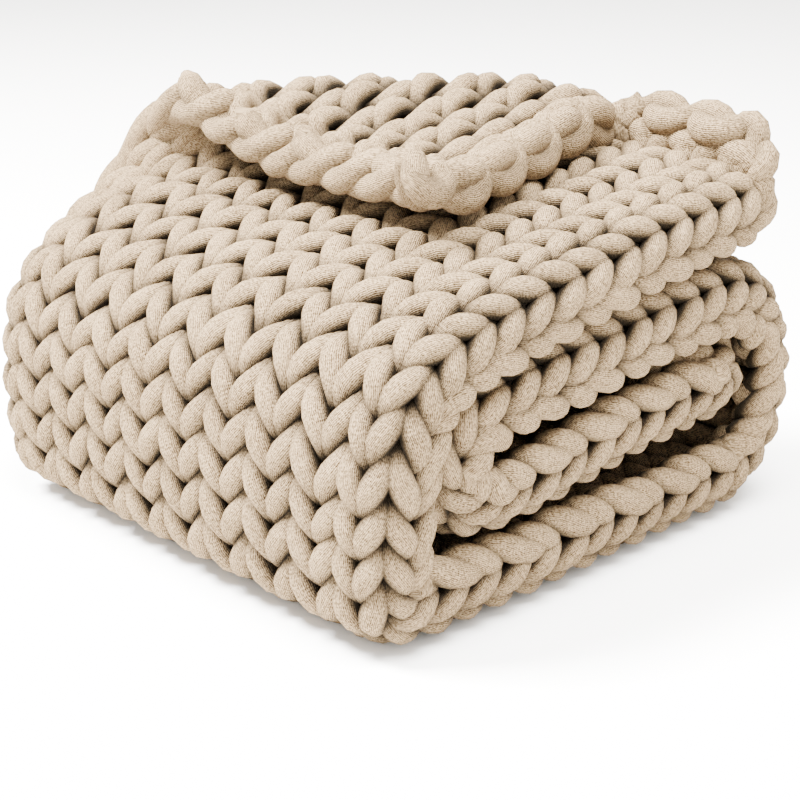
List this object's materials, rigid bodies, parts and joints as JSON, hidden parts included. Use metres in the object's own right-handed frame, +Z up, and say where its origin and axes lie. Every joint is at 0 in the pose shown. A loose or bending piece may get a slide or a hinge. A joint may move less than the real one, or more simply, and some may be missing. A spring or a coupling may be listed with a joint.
{
  "type": "chunky knit throw, folded",
  "caption": "Chunky knit throw in thick beige yarn, folded into a stack with its back left corner turned over towards the front.",
  "frame": {"origin": "centre of the folded throw's footprint, on the surface that it rests on", "axes": "+Z up, -Y towards the rounded front fold, +X towards the end that shows the layers"},
  "size_m": [0.5388, 0.5254, 0.3689],
  "materials": {
    "yarn_beige": "matt jersey-covered yarn"
  },
  "bodies": {
    "root": {"throw": "yarn_beige"}
  },
  "joints": []
}
